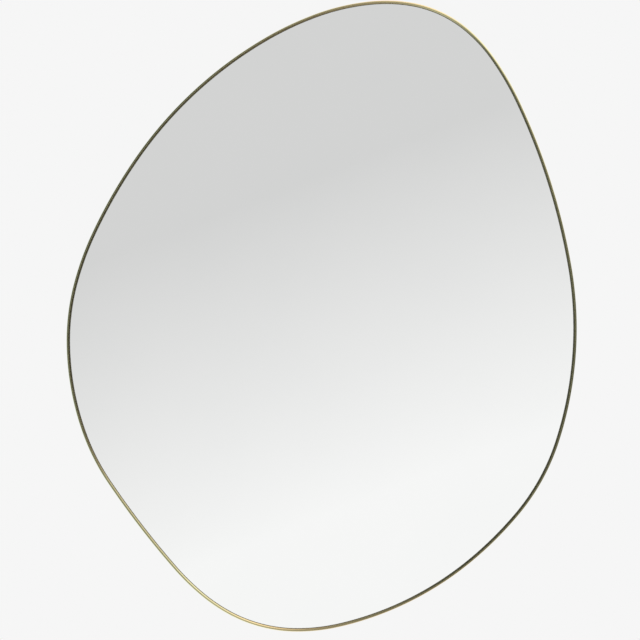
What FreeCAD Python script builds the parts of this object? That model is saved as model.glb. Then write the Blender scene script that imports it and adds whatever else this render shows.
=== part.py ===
"""Irregular wall mirror: a thin metal band bent to a closed organic outline, with silvered glass
taped to a board inside it, held by welded tabs, and hung from two strap hangers with D rings.

Frame of the part: +X to the right and +Z up for someone who faces the glass, +Y into the wall.
The wall is the plane y = 0. The origin lies midway between the two wall hooks.
All lengths are in millimetres and all angles in degrees.
"""
import FreeCAD, Part
import math
import os

# ---- outline -------------------------------------------------------------------------------
MIRROR_HEIGHT = 1000.0     # over the band's outer face
# The outline is a closed chain of tangent arcs, anticlockwise for someone who faces the glass.
# Each arc is (direction of the outward normal where it starts, radius of the band's outer face).
# The radii are in proportion to each other, and the mirror's height gives them their scale.
# The two arcs without a radius take the radii that close the chain.
OUTLINE_ARCS = (
    (10, 1030), (25, 470), (35, 240), (50, 185), (80, 240), (95, 350), (110, 500), (120, 645),
    (145, 810), (155, 475), (165, 354), (180, 436), (200, 350), (214, 1400), (221, 390),
    (230, 270), (240, 227), (270, 300), (283, None), (310, 580), (320, 345), (342, None),
)

# ---- depths, from the wall to the front ----------------------------------------------------
RIM_TO_WALL = 1.0          # air between the band's rear rim and the wall
REAR_RECESS = 6.0          # from the rear rim to the board's back
BOARD_THICKNESS = 9.0
TAPE_THICKNESS = 1.0
GLASS_THICKNESS = 4.0
FRONT_RECESS = 5.0         # from the glass to the band's front rim

# ---- band, board and glass -----------------------------------------------------------------
BAND_WALL = 4.5
RIM_ROUNDING = 2.2         # radius of both edges of the front rim
RIM_ROUNDING_FLATS = 3     # flats that make each rounded edge
BOARD_EDGE_GAP = 0.5       # between the board and the band's inner face
GLASS_EDGE_GAP = 0.3       # between the glass and the band's inner face
GLASS_ARRIS = 0.3          # ground front edge of the glass

# ---- mounting tape -------------------------------------------------------------------------
TAPE_WIDTH = 25.0
TAPE_STRIPS = 5
TAPE_SIDE_MARGIN = 100.0   # from the band's outer face to the middle of the outermost strips
TAPE_END_MARGIN = 30.0     # from the band's outer face to a strip's end

# ---- tabs welded inside the band -----------------------------------------------------------
TAB_COUNT = 6
TAB_WIDTH = 16.0
TAB_THICKNESS = 1.5
TAB_REACH = 20.0           # from the band's inner face to the tab's end
TAB_HOLE_MARGIN = 8.0      # from the tab's end to its hole's centre
TAB_CORNER_CLIP = 3.0
TAB_HOLE_RADIUS = 2.0
TAB_RIM_MARGIN = 1.0       # the welded leg ends this far short of the rear rim
TAB_BEND_RADIUS = 1.0      # inside the bend

# ---- hangers -------------------------------------------------------------------------------
HOOK_SPACING = 400.0
HOOKS_BELOW_TOP = 250.0    # from the top of the band down to the hooks
STRAP_WIDTH = 16.0
STRAP_LENGTH = 56.0        # from the eye's axis to the rounded end
STRAP_THICKNESS = 1.0      # one leaf of the folded strap
STRAP_CORNER_RADIUS = 6.0
STRAP_HOLE_RADIUS = 2.2
STRAP_FIRST_HOLE = 26.0    # below the eye's axis
STRAP_HOLE_PITCH = 20.0
EYE_THROAT_RADIUS = 2.0    # outside of the reverse bend that brings the leaves together
RING_WIRE_RADIUS = 1.5
RING_SIDE_GAP = 1.0        # between the strap's edge and the ring's side
RING_SIDE_LENGTH = 6.0     # from the eye's axis to where the bow starts
RING_CORNER_RADIUS = 2.3   # at the wire's centre line
RING_RUNNING_GAP = 0.05    # between the ring's bar and the eye
RING_REST_GAP = 0.3        # between the hanging ring and the strap
RING_BOW_STEPS = 8         # straight lengths that make the half-round bow
RING_CORNER_STEPS = 3      # and each corner

# ---- screws --------------------------------------------------------------------------------
TAB_SCREW_RADIUS = 1.75
TAB_SCREW_HEAD_RADIUS = 3.5
TAB_SCREW_HEAD_HEIGHT = 2.2
TAB_SCREW_BITE = 7.0       # length inside the board
HANGER_SCREW_RADIUS = 2.0
HANGER_SCREW_HEAD_RADIUS = 3.8
HANGER_SCREW_HEAD_HEIGHT = 2.5
HANGER_SCREW_BITE = 7.5
SCREW_PILOT_GAP = 0.05     # between a screw and its pilot hole

# ---- wall bumpers --------------------------------------------------------------------------
BUMPER_FOOT = 20.0         # side of the square that is stuck to the board
BUMPER_TOP = 16.0          # side of the square that meets the wall
BUMPER_INSET = 50.0        # from the band's outer face to a bumper's centre
BUMPER_DIRECTIONS = {"upper_right": 35, "upper_left": 140, "lower_left": 225, "lower_right": 315}

# ---- derived depths ------------------------------------------------------------------------
RIM_Y = -RIM_TO_WALL
BOARD_BACK_Y = RIM_Y - REAR_RECESS
BOARD_FRONT_Y = BOARD_BACK_Y - BOARD_THICKNESS
GLASS_BACK_Y = BOARD_FRONT_Y - TAPE_THICKNESS
GLASS_FRONT_Y = GLASS_BACK_Y - GLASS_THICKNESS
FRONT_Y = GLASS_FRONT_Y - FRONT_RECESS

# ---- derived places of holes and hangers ---------------------------------------------------
TAB_HOLE_INSET = BAND_WALL + TAB_REACH - TAB_HOLE_MARGIN
STRAP_HOLE_DEPTHS = (STRAP_FIRST_HOLE, STRAP_FIRST_HOLE + STRAP_HOLE_PITCH)
HANGER_PLACES = {"left": -HOOK_SPACING / 2, "right": HOOK_SPACING / 2}

# ---- derived hanger sizes, in the strap's own frame: board at y = 0, eye's axis at z = 0 ----
EYE_RADIUS = RING_WIRE_RADIUS + RING_RUNNING_GAP
EYE_Y = STRAP_THICKNESS + EYE_RADIUS
RING_HALF_WIDTH = STRAP_WIDTH / 2 + RING_SIDE_GAP + RING_WIRE_RADIUS
RING_REACH = RING_SIDE_LENGTH + RING_HALF_WIDTH
HOOK_REACH = RING_REACH - RING_WIRE_RADIUS
EYE_Z = -HOOK_REACH

NEAR = 1e-4                # lengths that differ by less are the same


def point(x, z, y=0.0):
    return FreeCAD.Vector(x, y, z)


def polar(radius, direction):
    """A step of the given length along a direction in the outline's plane."""
    angle = math.radians(direction)
    return point(radius * math.cos(angle), radius * math.sin(angle))


class OutlineArc:
    """One arc of the outline, between two directions of its outward normal."""

    def __init__(self, start, end, radius, centre):
        self.start = start
        self.end = end
        self.radius = radius
        self.centre = centre

    def at(self, direction, inset=0.0):
        return self.centre + polar(self.radius - inset, direction)

    def length(self, inset=0.0):
        return (self.radius - inset) * math.radians(self.end - self.start)


def arc_spans():
    """Start, end and radius of every arc, with the last one running on past 360 degrees."""
    starts = [start for start, radius in OUTLINE_ARCS]
    ends = starts[1:] + [starts[0] + 360]
    return [(a, b, radius) for a, b, (start, radius) in zip(starts, ends, OUTLINE_ARCS)]


def closing_radii(spans):
    """The radii of the two open arcs for which the chain of chords returns to its start."""
    known = [polar(radius, b) - polar(radius, a) for a, b, radius in spans if radius]
    gap = sum(known, FreeCAD.Vector())
    first, second = [polar(1, b) - polar(1, a) for a, b, radius in spans if not radius]
    determinant = first.x * second.z - first.z * second.x
    radius_one = (second.x * gap.z - second.z * gap.x) / determinant
    radius_two = (first.z * gap.x - first.x * gap.z) / determinant
    return [radius_one, radius_two]


def chain_outline():
    """The closed chain of arcs, wherever its first point happens to lie."""
    spans = arc_spans()
    closing = iter(closing_radii(spans))
    arcs = []
    start_point = FreeCAD.Vector()
    for start, end, radius in spans:
        radius = radius or next(closing)
        centre = start_point - polar(radius, start)
        arcs.append(OutlineArc(start, end, radius, centre))
        start_point = centre + polar(radius, end)
    return arcs


def outline_wire(arcs, inset, y):
    """The outline moved inwards by an inset, in the plane at depth y."""
    depth = FreeCAD.Vector(0, y, 0)
    edges = []
    for arc in arcs:
        middle = (arc.start + arc.end) / 2
        ends = [arc.at(direction, inset) + depth for direction in (arc.start, middle, arc.end)]
        edges.append(Part.Arc(*ends).toShape())
    return Part.Wire(edges)


def hung_outline():
    """The outline at its real height, its centre of area below the origin, its top above the hooks."""
    arcs = chain_outline()
    face = Part.Face(outline_wire(arcs, 0, 0))
    scale = MIRROR_HEIGHT / face.BoundBox.ZLength
    shift = point(-face.CenterOfMass.x * scale, HOOKS_BELOW_TOP - face.BoundBox.ZMax * scale)
    for arc in arcs:
        arc.radius = arc.radius * scale
        arc.centre = arc.centre * scale + shift
    return arcs


OUTLINE = hung_outline()


def slab(inset, front_y, back_y):
    """A flat plate of the outline's shape between two depths."""
    face = Part.Face(outline_wire(OUTLINE, inset, front_y))
    return face.extrude(FreeCAD.Vector(0, back_y - front_y, 0))


def edges_with_middle(shape, **place):
    """The edges whose middle has all of the given coordinates, such as x=0."""
    def fits(edge):
        return all(abs(getattr(edge.CenterOfMass, axis) - at) < NEAR for axis, at in place.items())
    return [edge for edge in shape.Edges if fits(edge)]


def arc_facing(direction):
    """The arc of the outline on which the outward normal takes a direction."""
    turned = (direction - OUTLINE[0].start) % 360 + OUTLINE[0].start
    return next(arc for arc in OUTLINE if arc.start <= turned <= arc.end)


def outline_point(direction, inset):
    """The point, moved inwards by an inset, where the outward normal has a direction."""
    return arc_facing(direction).at(direction, inset)


def direction_after(distance):
    """The normal's direction after walking a distance along the band's inner face."""
    for arc in OUTLINE:
        length = arc.length(BAND_WALL)
        if distance <= length:
            return arc.start + (arc.end - arc.start) * distance / length
        distance -= length
    return OUTLINE[-1].end


def heights_at(x, inset):
    """Lowest and highest z of the inset outline on the upright line at x."""
    heights = []
    for arc in OUTLINE:
        cosine = (x - arc.centre.x) / (arc.radius - inset)
        if abs(cosine) > 1:
            continue
        for direction in (math.degrees(math.acos(cosine)), -math.degrees(math.acos(cosine))):
            turned = (direction - arc.start) % 360 + arc.start
            if turned <= arc.end:
                heights.append(arc.at(turned, inset).z)
    return min(heights), max(heights)


# ---- band, glass, board and tape -----------------------------------------------------------
def rounded_ring_side(inset, towards_rim):
    """A solid with one wall of the band for its side, leaning towards the rim's middle at the front."""
    wires = [outline_wire(OUTLINE, inset, RIM_Y)]
    for step in range(RIM_ROUNDING_FLATS + 1):
        turn = math.pi / 2 * step / RIM_ROUNDING_FLATS
        lean = towards_rim * RIM_ROUNDING * (1 - math.cos(turn))
        rise = RIM_ROUNDING * (1 - math.sin(turn))
        wires.append(outline_wire(OUTLINE, inset + lean, FRONT_Y + rise))
    return Part.makeLoft(wires, True, True)


def frame_band():
    """The bent metal strip, on edge to the wall, with both edges of its front rim rounded."""
    return rounded_ring_side(0, 1).cut(rounded_ring_side(BAND_WALL, -1))


def mirror_glass():
    """Silvered glass with a ground arris round its front."""
    glass = slab(BAND_WALL + GLASS_EDGE_GAP, GLASS_FRONT_Y, GLASS_BACK_Y)
    return glass.makeChamfer(GLASS_ARRIS, edges_with_middle(glass, y=GLASS_FRONT_Y))


def back_board():
    """The board, with a blind pilot hole under every screw."""
    board = slab(BAND_WALL + BOARD_EDGE_GAP, BOARD_FRONT_Y, BOARD_BACK_Y)
    pilots = [pilot_hole(place, TAB_SCREW_RADIUS, TAB_SCREW_BITE) for place in tab_screw_places()]
    for place in hanger_screw_places():
        pilots.append(pilot_hole(place, HANGER_SCREW_RADIUS, HANGER_SCREW_BITE))
    return board.cut(Part.makeCompound(pilots))


def pilot_hole(place, screw_radius, bite):
    radius = screw_radius + SCREW_PILOT_GAP
    mouth = FreeCAD.Vector(place.x, BOARD_BACK_Y, place.z)
    return Part.makeCylinder(radius, bite + SCREW_PILOT_GAP, mouth, FreeCAD.Vector(0, -1, 0))


def mounting_tape(number):
    """One upright strip of double-sided tape, with square ends inside the glass's edge."""
    first, last = outline_point(180, TAPE_SIDE_MARGIN).x, outline_point(0, TAPE_SIDE_MARGIN).x
    centre_x = first + (last - first) * (number - 1) / (TAPE_STRIPS - 1)
    left, right = centre_x - TAPE_WIDTH / 2, centre_x + TAPE_WIDTH / 2
    bottoms, tops = zip(heights_at(left, TAPE_END_MARGIN), heights_at(right, TAPE_END_MARGIN))
    height = min(tops) - max(bottoms)
    corner = FreeCAD.Vector(left, GLASS_BACK_Y, max(bottoms))
    return Part.makeBox(TAPE_WIDTH, TAPE_THICKNESS, height, corner)


# ---- tabs ----------------------------------------------------------------------------------
def tab_directions():
    pitch = sum(arc.length(BAND_WALL) for arc in OUTLINE) / TAB_COUNT
    return [direction_after((number + 0.5) * pitch) for number in range(TAB_COUNT)]


def tab_screw_places():
    return [outline_point(direction, TAB_HOLE_INSET) for direction in tab_directions()]


def tab_profile():
    """Side view of a tab: outwards is +X, the board's back is y = 0."""
    leg = REAR_RECESS - TAB_RIM_MARGIN
    outside = TAB_BEND_RADIUS + TAB_THICKNESS
    bend = FreeCAD.Vector(-outside, outside, 0)
    half = math.sqrt(0.5)
    corners = [
        FreeCAD.Vector(-TAB_REACH, 0, 0), FreeCAD.Vector(-outside, 0, 0),
        FreeCAD.Vector(0, outside, 0), FreeCAD.Vector(0, leg, 0),
        FreeCAD.Vector(-TAB_THICKNESS, leg, 0), FreeCAD.Vector(-TAB_THICKNESS, outside, 0),
        FreeCAD.Vector(-outside, TAB_THICKNESS, 0), FreeCAD.Vector(-TAB_REACH, TAB_THICKNESS, 0),
    ]
    outer_middle = bend + FreeCAD.Vector(half * outside, -half * outside, 0)
    inner_middle = bend + FreeCAD.Vector(half * TAB_BEND_RADIUS, -half * TAB_BEND_RADIUS, 0)
    edges = [
        Part.makeLine(corners[0], corners[1]),
        Part.Arc(corners[1], outer_middle, corners[2]).toShape(),
        Part.makeLine(corners[2], corners[3]),
        Part.makeLine(corners[3], corners[4]),
        Part.makeLine(corners[4], corners[5]),
        Part.Arc(corners[5], inner_middle, corners[6]).toShape(),
        Part.makeLine(corners[6], corners[7]),
        Part.makeLine(corners[7], corners[0]),
    ]
    return Part.Face(Part.Wire(edges))


def fixing_tab(direction):
    """A bent tab: one leg welded to the band, the other lapped over the board."""
    tab = tab_profile().extrude(FreeCAD.Vector(0, 0, TAB_WIDTH))
    tab.translate(FreeCAD.Vector(0, 0, -TAB_WIDTH / 2))
    for side in (-TAB_WIDTH / 2, TAB_WIDTH / 2):
        tab = tab.makeChamfer(TAB_CORNER_CLIP, edges_with_middle(tab, x=-TAB_REACH, z=side))
    hole_foot = FreeCAD.Vector(BAND_WALL - TAB_HOLE_INSET, 0, 0)
    hole = Part.makeCylinder(TAB_HOLE_RADIUS, TAB_THICKNESS, hole_foot, FreeCAD.Vector(0, 1, 0))
    return set_on_band(tab.cut(hole), direction)


def set_on_band(tab, direction):
    """Seat a tab on the curved inner face so that the two sides of its leg touch the metal."""
    radius = arc_facing(direction).radius - BAND_WALL
    rise = radius - math.sqrt(radius ** 2 - (TAB_WIDTH / 2) ** 2)
    place = outline_point(direction, BAND_WALL + rise)
    tab.rotate(FreeCAD.Vector(), FreeCAD.Vector(0, 1, 0), -direction)
    tab.translate(FreeCAD.Vector(place.x, BOARD_BACK_Y, place.z))
    return tab


# ---- hangers -------------------------------------------------------------------------------
def strap_side_view():
    """Side view of the folded strap, seen along X: board at y = 0, eye's axis at z = 0."""
    leaf = STRAP_THICKNESS
    outer = EYE_RADIUS + leaf
    throat_inner = EYE_THROAT_RADIUS + leaf
    throat_y = 2 * leaf + EYE_THROAT_RADIUS
    throat_z = -math.sqrt((outer + EYE_THROAT_RADIUS) ** 2 - (throat_y - EYE_Y) ** 2)
    centre = FreeCAD.Vector(0, EYE_Y, 0)
    throat = FreeCAD.Vector(0, throat_y, throat_z)
    towards = (throat - centre).normalize()
    # the middle of the reverse bend faces halfway between its two ends, at the eye and at the board
    middle = (FreeCAD.Vector(0, -1, 0) - towards).normalize()
    outer_edges = [
        Part.makeLine(FreeCAD.Vector(0, 0, -STRAP_LENGTH), FreeCAD.Vector()),
        Part.Arc(FreeCAD.Vector(), centre + FreeCAD.Vector(0, 0, outer),
                 centre + towards * outer).toShape(),
        Part.Arc(centre + towards * outer, throat + middle * EYE_THROAT_RADIUS,
                 FreeCAD.Vector(0, 2 * leaf, throat_z)).toShape(),
        Part.makeLine(FreeCAD.Vector(0, 2 * leaf, throat_z), FreeCAD.Vector(0, 2 * leaf, -STRAP_LENGTH)),
        Part.makeLine(FreeCAD.Vector(0, 2 * leaf, -STRAP_LENGTH), FreeCAD.Vector(0, 0, -STRAP_LENGTH)),
    ]
    inner_edges = [
        Part.Arc(FreeCAD.Vector(0, leaf, 0), centre + FreeCAD.Vector(0, 0, EYE_RADIUS),
                 centre + towards * EYE_RADIUS).toShape(),
        Part.Arc(centre + towards * EYE_RADIUS, throat + middle * throat_inner,
                 FreeCAD.Vector(0, leaf, throat_z)).toShape(),
        Part.makeLine(FreeCAD.Vector(0, leaf, throat_z), FreeCAD.Vector(0, leaf, 0)),
    ]
    return Part.Face(Part.Wire(outer_edges)).cut(Part.Face(Part.Wire(inner_edges)))


def hanger_strap(x):
    """A strip folded back on itself round the ring's bar, with two screw holes."""
    strap = strap_side_view().extrude(FreeCAD.Vector(STRAP_WIDTH, 0, 0))
    strap.translate(FreeCAD.Vector(-STRAP_WIDTH / 2, 0, 0))
    for side in (-STRAP_WIDTH / 2, STRAP_WIDTH / 2):
        strap = strap.makeFillet(STRAP_CORNER_RADIUS, edges_with_middle(strap, x=side, z=-STRAP_LENGTH))
    for depth in STRAP_HOLE_DEPTHS:
        foot = FreeCAD.Vector(0, 0, -depth)
        hole = Part.makeCylinder(STRAP_HOLE_RADIUS, 2 * STRAP_THICKNESS, foot, FreeCAD.Vector(0, 1, 0))
        strap = strap.cut(hole)
    return set_on_board(strap, x)


def ring_rest_tilt():
    """The hanging ring leans out far enough for its bow to clear the strap's edges."""
    half_strap = STRAP_WIDTH / 2
    crossing = RING_SIDE_LENGTH + math.sqrt(RING_HALF_WIDTH ** 2 - half_strap ** 2)
    lift = 2 * STRAP_THICKNESS + RING_REST_GAP + RING_WIRE_RADIUS - EYE_Y
    return math.degrees(math.asin(lift / crossing))


def wire_sections(centre, bend_radius, first, last, steps):
    """Round sections of the ring's wire at even steps round one bend."""
    sections = []
    for step in range(steps + 1):
        direction = first + (last - first) * step / steps
        section = Part.makeCircle(RING_WIRE_RADIUS, centre + point(bend_radius, 0), point(0, 1))
        section.rotate(centre, FreeCAD.Vector(0, 1, 0), -direction)
        sections.append(Part.Wire(section))
    return sections


def hang_ring(x):
    """The D ring, hanging with its bow just off the strap: a straight bar, two corners and a bow."""
    corner = RING_CORNER_RADIUS
    bar_end = RING_HALF_WIDTH - corner
    sections = wire_sections(point(bar_end, -corner), corner, 90, 0, RING_CORNER_STEPS)
    sections += wire_sections(point(0, -RING_SIDE_LENGTH), RING_HALF_WIDTH, 0, -180, RING_BOW_STEPS)
    sections += wire_sections(point(-bar_end, -corner), corner, -180, -270, RING_CORNER_STEPS)
    bow = Part.makeLoft(sections, True, True)
    bar = Part.makeCylinder(RING_WIRE_RADIUS, 2 * bar_end, point(-bar_end, 0), point(1, 0))
    ring = bow.fuse(bar)
    ring.rotate(FreeCAD.Vector(), FreeCAD.Vector(1, 0, 0), ring_rest_tilt())
    ring.translate(FreeCAD.Vector(0, EYE_Y, 0))
    return set_on_board(ring, x)


def set_on_board(shape, x):
    shape.translate(FreeCAD.Vector(x, BOARD_BACK_Y, EYE_Z))
    return shape


def hanger_screw_places():
    return [point(x, EYE_Z - depth) for x in HANGER_PLACES.values() for depth in STRAP_HOLE_DEPTHS]


# ---- screws --------------------------------------------------------------------------------
def flat_screw(place, seat_height, radius, head_radius, head_height, bite):
    """A screw driven into the board through what lies seat_height thick on it."""
    seat = FreeCAD.Vector(place.x, BOARD_BACK_Y + seat_height, place.z)
    head = Part.makeCylinder(head_radius, head_height, seat, FreeCAD.Vector(0, 1, 0))
    shank = Part.makeCylinder(radius, seat_height + bite, seat, FreeCAD.Vector(0, -1, 0))
    return head.fuse(shank)


def tab_screws():
    return Part.makeCompound([
        flat_screw(place, TAB_THICKNESS, TAB_SCREW_RADIUS, TAB_SCREW_HEAD_RADIUS,
                   TAB_SCREW_HEAD_HEIGHT, TAB_SCREW_BITE)
        for place in tab_screw_places()
    ])


def hanger_screws():
    return Part.makeCompound([
        flat_screw(place, 2 * STRAP_THICKNESS, HANGER_SCREW_RADIUS, HANGER_SCREW_HEAD_RADIUS,
                   HANGER_SCREW_HEAD_HEIGHT, HANGER_SCREW_BITE)
        for place in hanger_screw_places()
    ])


# ---- bumpers -------------------------------------------------------------------------------
def wall_bumper(direction):
    """A tapered square rubber bumper, stuck on the board and just proud of the rim."""
    place = outline_point(direction, BUMPER_INSET)
    foot, top, height = BUMPER_FOOT / 2, BUMPER_TOP / 2, -BOARD_BACK_Y
    bumper = Part.makeWedge(-foot, 0, -foot, -top, -top, foot, height, foot, top, top)
    bumper.translate(FreeCAD.Vector(place.x, BOARD_BACK_Y, place.z))
    return bumper


def build_nodes():
    nodes = {
        "frame_band": frame_band(),
        "mirror_glass": mirror_glass(),
        "back_board": back_board(),
        "tab_screws": tab_screws(),
        "hanger_screws": hanger_screws(),
    }
    for number in range(1, TAPE_STRIPS + 1):
        nodes[f"mounting_tape_{number}"] = mounting_tape(number)
    for number, direction in enumerate(tab_directions(), 1):
        nodes[f"fixing_tab_{number:02d}"] = fixing_tab(direction)
    for side, x in HANGER_PLACES.items():
        nodes[f"hanger_strap_{side}"] = hanger_strap(x)
        nodes[f"hang_ring_{side}"] = hang_ring(x)
    for corner, direction in BUMPER_DIRECTIONS.items():
        nodes[f"wall_bumper_{corner}"] = wall_bumper(direction)
    return nodes


def main():
    os.makedirs("parts", exist_ok=True)
    for name, shape in build_nodes().items():
        shape.exportStep(f"parts/{name}.step")
        print(f"{name}: {len(shape.Solids)} solid, {shape.Volume:.0f} mm3, valid {shape.isValid()}")


main()
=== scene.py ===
"""Looks of the irregular wall mirror: a pale brass strip bent to a closed organic outline, with
silvered glass set back inside it, and the tabs, screws, hangers and bumpers on its back.

Lengths are in metres. +X is to the right and +Z up for someone who faces the glass; the wall is y = 0.
"""

import math

import bmesh
import bpy
from mathutils import Matrix, Vector


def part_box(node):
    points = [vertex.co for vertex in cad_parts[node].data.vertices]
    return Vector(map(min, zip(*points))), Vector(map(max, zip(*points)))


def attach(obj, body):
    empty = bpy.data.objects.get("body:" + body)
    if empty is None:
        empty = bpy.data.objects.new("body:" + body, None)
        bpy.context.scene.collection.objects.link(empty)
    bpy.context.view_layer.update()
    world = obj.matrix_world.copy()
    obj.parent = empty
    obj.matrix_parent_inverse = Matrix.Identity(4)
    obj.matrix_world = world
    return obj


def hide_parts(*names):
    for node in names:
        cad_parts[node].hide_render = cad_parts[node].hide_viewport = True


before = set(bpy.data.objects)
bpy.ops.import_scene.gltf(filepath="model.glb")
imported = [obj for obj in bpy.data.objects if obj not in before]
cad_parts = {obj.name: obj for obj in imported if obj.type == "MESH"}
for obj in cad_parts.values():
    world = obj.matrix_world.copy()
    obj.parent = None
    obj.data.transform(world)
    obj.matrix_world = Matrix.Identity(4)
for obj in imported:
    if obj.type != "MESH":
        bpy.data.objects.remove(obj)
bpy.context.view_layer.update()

MM = 0.001
SAME_PLACE = 1e-6          # points this near to each other are one
AWAY_FROM_WALL = Vector((0, -1, 0))

# ---- outline: (direction of the outward normal where an arc starts, radius of the outer face) ----
# The height gives the radii their scale. The two arcs with no radius here get those that close the chain.
OUTLINE_ARCS = (
    (10, 1030), (25, 470), (35, 240), (50, 185), (80, 240), (95, 350), (110, 500), (120, 645),
    (145, 810), (155, 475), (165, 354), (180, 436), (200, 350), (214, 1400), (221, 390),
    (230, 270), (240, 227), (270, 300), (283, None), (310, 580), (320, 345), (342, None),
)
MIRROR_HEIGHT = 1.0
MIRROR_TOP = 0.25          # the hooks are at z = 0, this far below the top
MIRROR_LEFT = -0.416711    # and midway between them is x = 0
SWEEP_STEP = 0.007         # longest chord of the swept strip
SEAM_DEGREES = 1e-3        # two arcs share a point this near to their joint

# ---- depths and gaps, as in the solids ----
REAR_RIM_Y = -1 * MM
BOARD_BACK_Y = -7 * MM
GLASS_BACK_Y = -17 * MM
GLASS_FRONT_Y = -21 * MM
FRONT_RIM_Y = -26 * MM
BAND_WALL = 4.5 * MM
RIM_ROUNDING = 2.2 * MM
RIM_FULLNESS = 0.41        # below a half, the two roundings meet in a soft ridge
REAR_ROUNDING = 0.35 * MM
INNER_WALL_INSET = 0.9 * BAND_WALL   # faces further in than this belong to the strip's inner wall, which gets the painted shade
GLASS_INSET = BAND_WALL + 0.3 * MM
GLASS_ARRIS = 0.3 * MM

# ---- tabs and their welds ----
TAB_COUNT = 6
TAB_HALF_WIDTH = 8 * MM
TAB_THICKNESS = 1.5 * MM
TAB_REACH = 20 * MM        # from the strip's inner face to the tab's end
TAB_LEG = 5 * MM           # how far the welded leg stands up from the board
TAB_BEND = 1 * MM          # radius inside the bend
TAB_CLIP = 3 * MM
TAB_EDGE_ROUNDING = 0.15 * MM
TAB_HOLE_INSET = BAND_WALL + 12 * MM
TAB_HOLE_RADIUS = 2 * MM
WELD_PUDDLES = 5
WELD_PITCH = 0.65 * MM
WELD_START = 2.2 * MM      # above the board
WELD_SIZE = (1.0 * MM, 0.75 * MM, 1.1 * MM)     # half a puddle's size outwards, up and sideways
WELD_UNEVENNESS = 0.12 * MM
WELD_SET_IN = 0.25 * MM    # from the strip's inner face to a puddle's middle
WELD_BESIDE = 0.15 * MM    # and from the tab's side

# ---- screws: head radius, head height, shank radius and bite into the board ----
TAB_SCREW = (3.5 * MM, 2.2 * MM, 1.75 * MM, 7 * MM)
HANGER_SCREW = (3.8 * MM, 2.5 * MM, 2 * MM, 7.5 * MM)
HEAD_RINGS = ((0.80, 0.96), (0.97, 0.62), (1.0, 0.30), (1.0, 0.0))    # of the head's radius and height
RECESS_REACH = 0.55        # the recess's sizes are shares of the head's radius, and its depth of the height
RECESS_ARM = 0.17
RECESS_DRAFT = 0.04
RECESS_DEPTH = 0.6
BETWEEN_ARMS = 0.72        # how far the cells between the arms are drawn in
SHANK_END = 0.25           # width left at the shank's end, of its whole width

# ---- hangers ----
HOOK_HALF_SPACING = 0.2
EYE_Y = -4.45 * MM
EYE_Z = -15 * MM
STRAP_THICKNESS = 2 * MM   # both leaves of the folded strap
STRAP_HOLE_DEPTHS = (26 * MM, 46 * MM)
RING_WIRE = 1.5 * MM       # radius
RING_HALF_WIDTH = 10.5 * MM
RING_SIDE_LENGTH = 6 * MM
RING_CORNER = 2.3 * MM
RING_REST_TILT = math.radians(5.604)

# ---- bumpers: a tapered square, from the foot on the board to the top at the wall ----
BUMPER_FOOT = 20 * MM
BUMPER_TOP = 16 * MM
BUMPER_CORNER = 2.5 * MM
BUMPER_TOP_ROUNDING = 1.1 * MM


# ---------------------------------------------------------------------------------------------
# Outline
# ---------------------------------------------------------------------------------------------
def polar(radius, degrees):
    """A step of the given length along a direction in the outline's plane."""
    angle = math.radians(degrees)
    return Vector((radius * math.cos(angle), 0, radius * math.sin(angle)))


class Arc:
    """One arc of the outline, between two directions of its outward normal."""

    def __init__(self, start, end, radius, centre):
        self.start, self.end, self.radius, self.centre = start, end, radius, centre

    def at(self, degrees, inset=0.0):
        """The point of the outer face, or of a face inset from it, with this outward normal."""
        return self.centre + polar(self.radius - inset, degrees)

    def length(self, inset=0.0):
        """The length of the outer face along this arc, or of a face inset from it."""
        return (self.radius - inset) * math.radians(self.end - self.start)


def arc_spans():
    """The first direction, last direction and radius of each arc."""
    starts = [start for start, radius in OUTLINE_ARCS]
    ends = starts[1:] + [starts[0] + 360]
    return [(a, b, radius) for a, b, (start, radius) in zip(starts, ends, OUTLINE_ARCS)]


def closing_radii(spans):
    """The radii of the two open arcs for which the chain of chords returns to its start."""
    gap = sum((polar(r, b) - polar(r, a) for a, b, r in spans if r), Vector())
    first, second = [polar(1, b) - polar(1, a) for a, b, r in spans if not r]
    determinant = first.x * second.z - first.z * second.x
    return [(second.x * gap.z - second.z * gap.x) / determinant,
            (first.z * gap.x - first.x * gap.z) / determinant]


def facing(arcs, degrees):
    """The arc of the outline on which the outward normal takes a direction."""
    turned = (degrees - arcs[0].start) % 360 + arcs[0].start
    return next(arc for arc in arcs if arc.start <= turned <= arc.end)


def hung_outline():
    """The closed chain of arcs at its real size and place."""
    spans = arc_spans()
    closing = iter(closing_radii(spans))
    arcs, start_point = [], Vector()
    for start, end, radius in spans:
        radius = radius or next(closing)
        centre = start_point - polar(radius, start)
        arcs.append(Arc(start, end, radius, centre))
        start_point = centre + polar(radius, end)
    top, bottom, left = [facing(arcs, d).at(d) for d in (90, 270, 180)]
    scale = MIRROR_HEIGHT / (top.z - bottom.z)
    shift = Vector((MIRROR_LEFT - left.x * scale, 0, MIRROR_TOP - top.z * scale))
    for arc in arcs:
        arc.radius *= scale
        arc.centre = arc.centre * scale + shift
    return arcs


OUTLINE = hung_outline()
OUTLINE_LENGTH = sum(arc.length() for arc in OUTLINE)


def direction_after(distance):
    """The normal's direction after walking a distance along the strip's inner face."""
    for arc in OUTLINE:
        length = arc.length(BAND_WALL)
        if distance <= length:
            return arc.start + (arc.end - arc.start) * distance / length
        distance -= length
    return OUTLINE[-1].end


def tab_directions():
    """The outline's directions at the tabs, which are evenly spaced along the strip's inner face."""
    pitch = sum(arc.length(BAND_WALL) for arc in OUTLINE) / TAB_COUNT
    return [direction_after((number + 0.5) * pitch) for number in range(TAB_COUNT)]


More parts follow.
